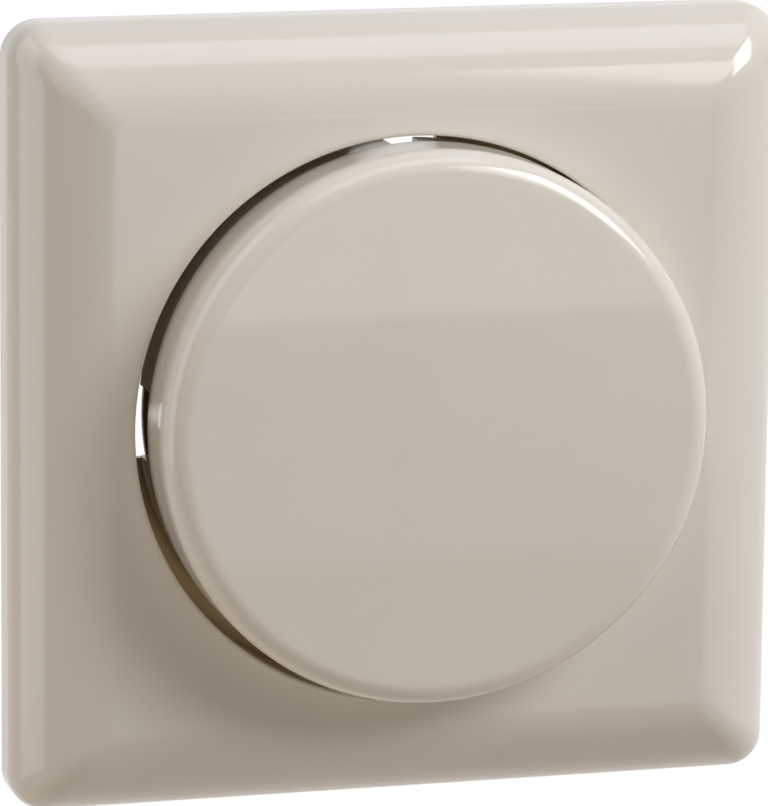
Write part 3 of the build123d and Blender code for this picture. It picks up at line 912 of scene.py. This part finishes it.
@dataclass
class ClampStrip:
    """A strip spring bent back on itself."""

    side: int
    row: int
    wire_height: float = 8.5
    corners: tuple = ((7.6, 13.6), (7.6, 21.4), (10.4, 21.4), (13.6, 15.4))
    bend_radius: float = 1.1
    bend_steps: int = 9
    thickness: float = 0.4
    width: float = 5.0
    keep: float = 0.82
    slot: str = "strip_steel"

    @property
    def place_name(self) -> str:
        """Which of the four strips this is."""
        return f"{'upper' if self.row > 0 else 'lower'}_{'right' if self.side > 0 else 'left'}"

    def centre_line(self) -> np.ndarray:
        """The middle of the strip seen from its edge: straight legs joined by curves.

        Each bend is a parabola that touches both legs, at a distance from their corner of the bend's radius
        over the tangent of half the angle between them.

        Returns:
            Two columns of millimetres, sideways and depth.
        """
        corners = np.array(self.corners)
        share = np.linspace(0, 1, self.bend_steps)[:, None]
        line = [corners[:1]]
        for before, corner, after in zip(corners, corners[1:], corners[2:]):
            back = (before - corner) / np.linalg.norm(before - corner)
            ahead = (after - corner) / np.linalg.norm(after - corner)
            reach = self.bend_radius / np.tan(np.arccos(back @ ahead) / 2)
            start, end = corner + back * reach, corner + ahead * reach
            line.append((1 - share) ** 2 * start + 2 * share * (1 - share) * corner + share**2 * end)
        line.append(corners[-1:])
        return np.concatenate(line)

    def surface(self) -> bpy.types.Object:
        """The strip as a rectangular section carried along its centre line, closed at both ends.

        Returns:
            The new object.
        """
        line = self.centre_line()
        along = np.gradient(line, axis=0)
        along /= np.linalg.norm(along, axis=1, keepdims=True)
        across = np.stack([-along[:, 1], along[:, 0]], axis=1) * self.thickness / 2
        high = self.wire_height * self.row
        section = ((1, 1), (1, -1), (-1, -1), (-1, 1))
        rings = [
            np.column_stack([line + turn * across, np.full(len(line), high + rise * self.width / 2)])
            for turn, rise in section
        ]
        points = np.stack(rings, axis=1) * [self.side, 1, 1]
        faces = capped_faces(len(line), len(section))
        strip = make_mesh(f"clamp_strip_{self.place_name}", points.reshape(-1, 3), faces)
        return sharpen(face_out(strip), SHARP_ON_BLOCKS)

    def dress(self, shelf: MaterialShelf) -> None:
        """Build the strip, colour it and put it in place of its CAD node.

        Args:
            shelf: where the finish comes from.
        """
        strip = self.surface()
        shelf.put(strip, Finishes.STRIP)
        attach(strip, "insert")
        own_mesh(strip)
        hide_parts(f"clamp_spring_{self.place_name}")


# Insert


@dataclass
class Insert:
    """The switch insert behind the cover, shown by its CAD solids, with the finish of each."""

    finishes: dict = field(default_factory=lambda: {
        "support_ring": Finishes.SHADED_RING_STEEL,
        "base": Finishes.BASE,
        "guide_plate": Finishes.GUIDE,
        "rivets": Finishes.RIVET,
        "carrier": Finishes.SLIDER,
        "contact_bridge": Finishes.BRASS,
        "contact_rail_left": Finishes.BRASS,
        "contact_rail_right": Finishes.BRASS,
        "bridge_contact_tips": Finishes.SILVER,
        "fixed_contact_tips": Finishes.SILVER,
        "release_lever_left": Finishes.LEVER,
        "release_lever_right": Finishes.LEVER,
    })

    def dress(self, shelf: MaterialShelf, nodes: dict) -> None:
        """Colour the CAD nodes that are seen; the others are replaced.

        Args:
            shelf: where the finishes come from.
            nodes: the CAD nodes' objects, by name.
        """
        for name, finish in self.finishes.items():
            shelf.put(nodes[name], finish)


# Studio


@dataclass
class Softbox:
    """A square-cornered soft light, placed by the direction it shines from, with sizes in metres."""

    name: str
    azimuth: float
    elevation: float
    width: float
    height: float
    radiance: float
    distance: float = 1.0
    roll: float = 0.0
    colour: str = WHITE
    mirrored: bool = True

    def build(self) -> bpy.types.Object:
        """Make the light and aim it at the origin; one that is not mirrored makes no highlights.

        Its power is its radiance times pi times its area.

        Returns:
            The new light.
        """
        turn, lift = np.radians(self.azimuth), np.radians(self.elevation)
        towards = Vector((np.sin(turn) * np.cos(lift), -np.cos(turn) * np.cos(lift), np.sin(lift)))
        data = bpy.data.lights.new(self.name, "AREA")
        data.shape = "RECTANGLE"
        data.size, data.size_y = self.width, self.height
        data.energy = self.radiance * np.pi * self.width * self.height
        data.color = linear(self.colour)[:3]
        light = bpy.data.objects.new(self.name, data)
        light.location = towards * self.distance
        turned = towards.to_track_quat("Z", "Y") @ Quaternion((0, 0, 1), np.radians(self.roll))
        light.rotation_euler = turned.to_euler()
        light.visible_glossy = self.mirrored
        bpy.context.scene.collection.objects.link(light)
        return light


@dataclass
class Studio:
    """The camera, lights, floor and white surroundings."""

    camera_azimuth: float = -15.9
    camera_elevation: float = 11.57
    camera_roll: float = 0.6057
    camera_distance_mm: float = 590.0
    focal_px: float = 5796.0
    origin_px: tuple = (385.75, 398.5)
    sensor_mm: float = 36.0
    world_strength: float = 0.02
    world_colour: str = "#FFE3BE"
    floor_drop_mm: float = 450.0
    floor_half_mm: float = 8000.0
    floor_white: float = 1.12
    floor_white_share: float = 0.9
    floor_colour: str = "#D9CDBA"
    nearest_m: float = 0.01
    farthest_m: float = 50.0
    lights: tuple = (
        Softbox("Key softbox", azimuth=55, elevation=36, width=0.4, height=0.54, radiance=9.3),
        Softbox(
            "Key edge strip", azimuth=32.5, elevation=38.5, width=0.24, height=0.353, radiance=3.4, roll=-10
        ),
        Softbox(
            "Top softbox", azimuth=20, elevation=76, width=0.9, height=0.42, radiance=1.6, colour="#F8F9FF"
        ),
        Softbox("Front fill", azimuth=16, elevation=0, width=0.3, height=0.28, radiance=1.1),
        Softbox("Left fill", azimuth=-90, elevation=20, width=0.6, height=1.5, radiance=1.55),
        Softbox(
            "Warm left fill",
            azimuth=-50,
            elevation=10,
            width=0.3,
            height=0.6,
            radiance=0.85,
            colour="#FFC68C",
        ),
        Softbox(
            "Low left reflector",
            azimuth=-62,
            elevation=-42,
            width=0.36,
            height=0.3,
            radiance=0.4,
            distance=0.5,
            colour="#FFE8CC",
        ),
        Softbox("Back fill", azimuth=180, elevation=0, width=0.5, height=0.5, radiance=2.4, mirrored=False),
    )

    def camera(self) -> None:
        """Place the camera where the photograph's stood, with its roll and the small shift of its frame."""
        turn, lift, roll = np.radians([self.camera_azimuth, self.camera_elevation, self.camera_roll])
        back = Vector((np.sin(turn) * np.cos(lift), -np.cos(turn) * np.cos(lift), np.sin(lift)))
        level_right = Vector((np.cos(turn), np.sin(turn), 0))
        level_up = back.cross(level_right)
        right = level_right * np.cos(roll) + level_up * np.sin(roll)
        up = level_up * np.cos(roll) - level_right * np.sin(roll)
        data = bpy.data.cameras.new("Camera")
        data.sensor_width = self.sensor_mm
        long_side = max(IMAGE_WIDTH, IMAGE_HEIGHT)
        data.lens = self.focal_px * self.sensor_mm / long_side
        data.shift_x = (IMAGE_WIDTH / 2 - self.origin_px[0]) / long_side
        data.shift_y = (self.origin_px[1] - IMAGE_HEIGHT / 2) / long_side
        data.clip_start, data.clip_end = self.nearest_m, self.farthest_m
        camera = bpy.data.objects.new("Camera", data)
        turned = Matrix((right, up, back)).transposed().to_4x4()
        camera.matrix_world = Matrix.Translation(back * self.camera_distance_mm * MM) @ turned
        bpy.context.scene.collection.objects.link(camera)
        bpy.context.scene.camera = camera

    def white_share(self, tree: bpy.types.NodeTree) -> bpy.types.NodeSocket:
        """1 for what the camera sees straight, in a mirror or through glass, and 0 for other light.

        Args:
            tree: the node tree that takes the nodes.

        Returns:
            The output with the greatest of the three kinds' flags.
        """
        path = add_node(tree, "LightPath")
        total = path.outputs["Is Camera Ray"]
        for name in ("Is Glossy Ray", "Is Transmission Ray"):
            adding = add_node(tree, "Math", {"operation": "MAXIMUM"})
            tree.links.new(total, adding.inputs[0])
            tree.links.new(path.outputs[name], adding.inputs[1])
            total = adding.outputs["Value"]
        return total

    def world(self) -> None:
        """White behind the object, and a weaker even light from all round."""
        world = bpy.data.worlds.new("Studio")
        bpy.context.scene.world = world
        world.use_nodes = True
        tree = world.node_tree
        tree.nodes.clear()
        even = {"Color": linear(self.world_colour), "Strength": self.world_strength}
        ambient = add_node(tree, "Background", even)
        white = add_node(tree, "Background", {"Color": linear(WHITE), "Strength": 1.0})
        mix = add_node(tree, "MixShader")
        tree.links.new(self.white_share(tree), mix.inputs[0])
        tree.links.new(ambient.outputs["Background"], mix.inputs[1])
        tree.links.new(white.outputs["Background"], mix.inputs[2])
        add_node(tree, "OutputWorld", Surface=mix.outputs["Shader"])

    def floor(self) -> None:
        """A plain pale floor well below, since the object hangs on a wall."""
        half, low = self.floor_half_mm, -self.floor_drop_mm
        corners = np.array([(-half, -half, low), (half, -half, low), (half, half, low), (-half, half, low)])
        floor = make_mesh("floor", corners, [[0, 1, 2, 3]])
        material = bpy.data.materials.new("Pale matt floor")
        material.use_nodes = True
        tree = material.node_tree
        tree.nodes.clear()
        matt = add_node(tree, "BsdfDiffuse", {"Color": linear(self.floor_colour)})
        white = add_node(tree, "Emission", {"Color": linear(WHITE), "Strength": self.floor_white})
        most = add_node(tree, "Math", {"operation": "MULTIPLY"})
        tree.links.new(self.white_share(tree), most.inputs[0])
        most.inputs[1].default_value = self.floor_white_share
        mix = add_node(tree, "MixShader")
        tree.links.new(most.outputs["Value"], mix.inputs[0])
        tree.links.new(matt.outputs["BSDF"], mix.inputs[1])
        tree.links.new(white.outputs["Emission"], mix.inputs[2])
        add_node(tree, "OutputMaterial", Surface=mix.outputs["Shader"])
        floor.data.materials.append(material)

    def build(self) -> None:
        """Set up everything round the object."""
        self.world()
        self.floor()
        for light in self.lights:
            light.build()
        self.camera()
        bpy.context.scene.view_settings.view_transform = "Standard"


def main() -> None:
    """Build every piece in order."""
    logging.basicConfig(level=logging.INFO, format="%(message)s")
    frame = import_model()
    shelf = MaterialShelf()
    Insert().dress(shelf, frame["nodes"])
    LOG.info("insert coloured")
    CoverFrame().dress(shelf)
    LOG.info("cover frame built")
    PushButton().dress(shelf)
    LOG.info("button built")
    for spring in springs():
        spring.dress(shelf)
        LOG.info("%s wound", spring.node)
    for side in (-1, 1):
        for row in (-1, 1):
            ClampStrip(side, row).dress(shelf)
    LOG.info("clamp strips bent")
    Studio().build()
    LOG.info("studio set up")


if __name__ == "__main__":
    main()
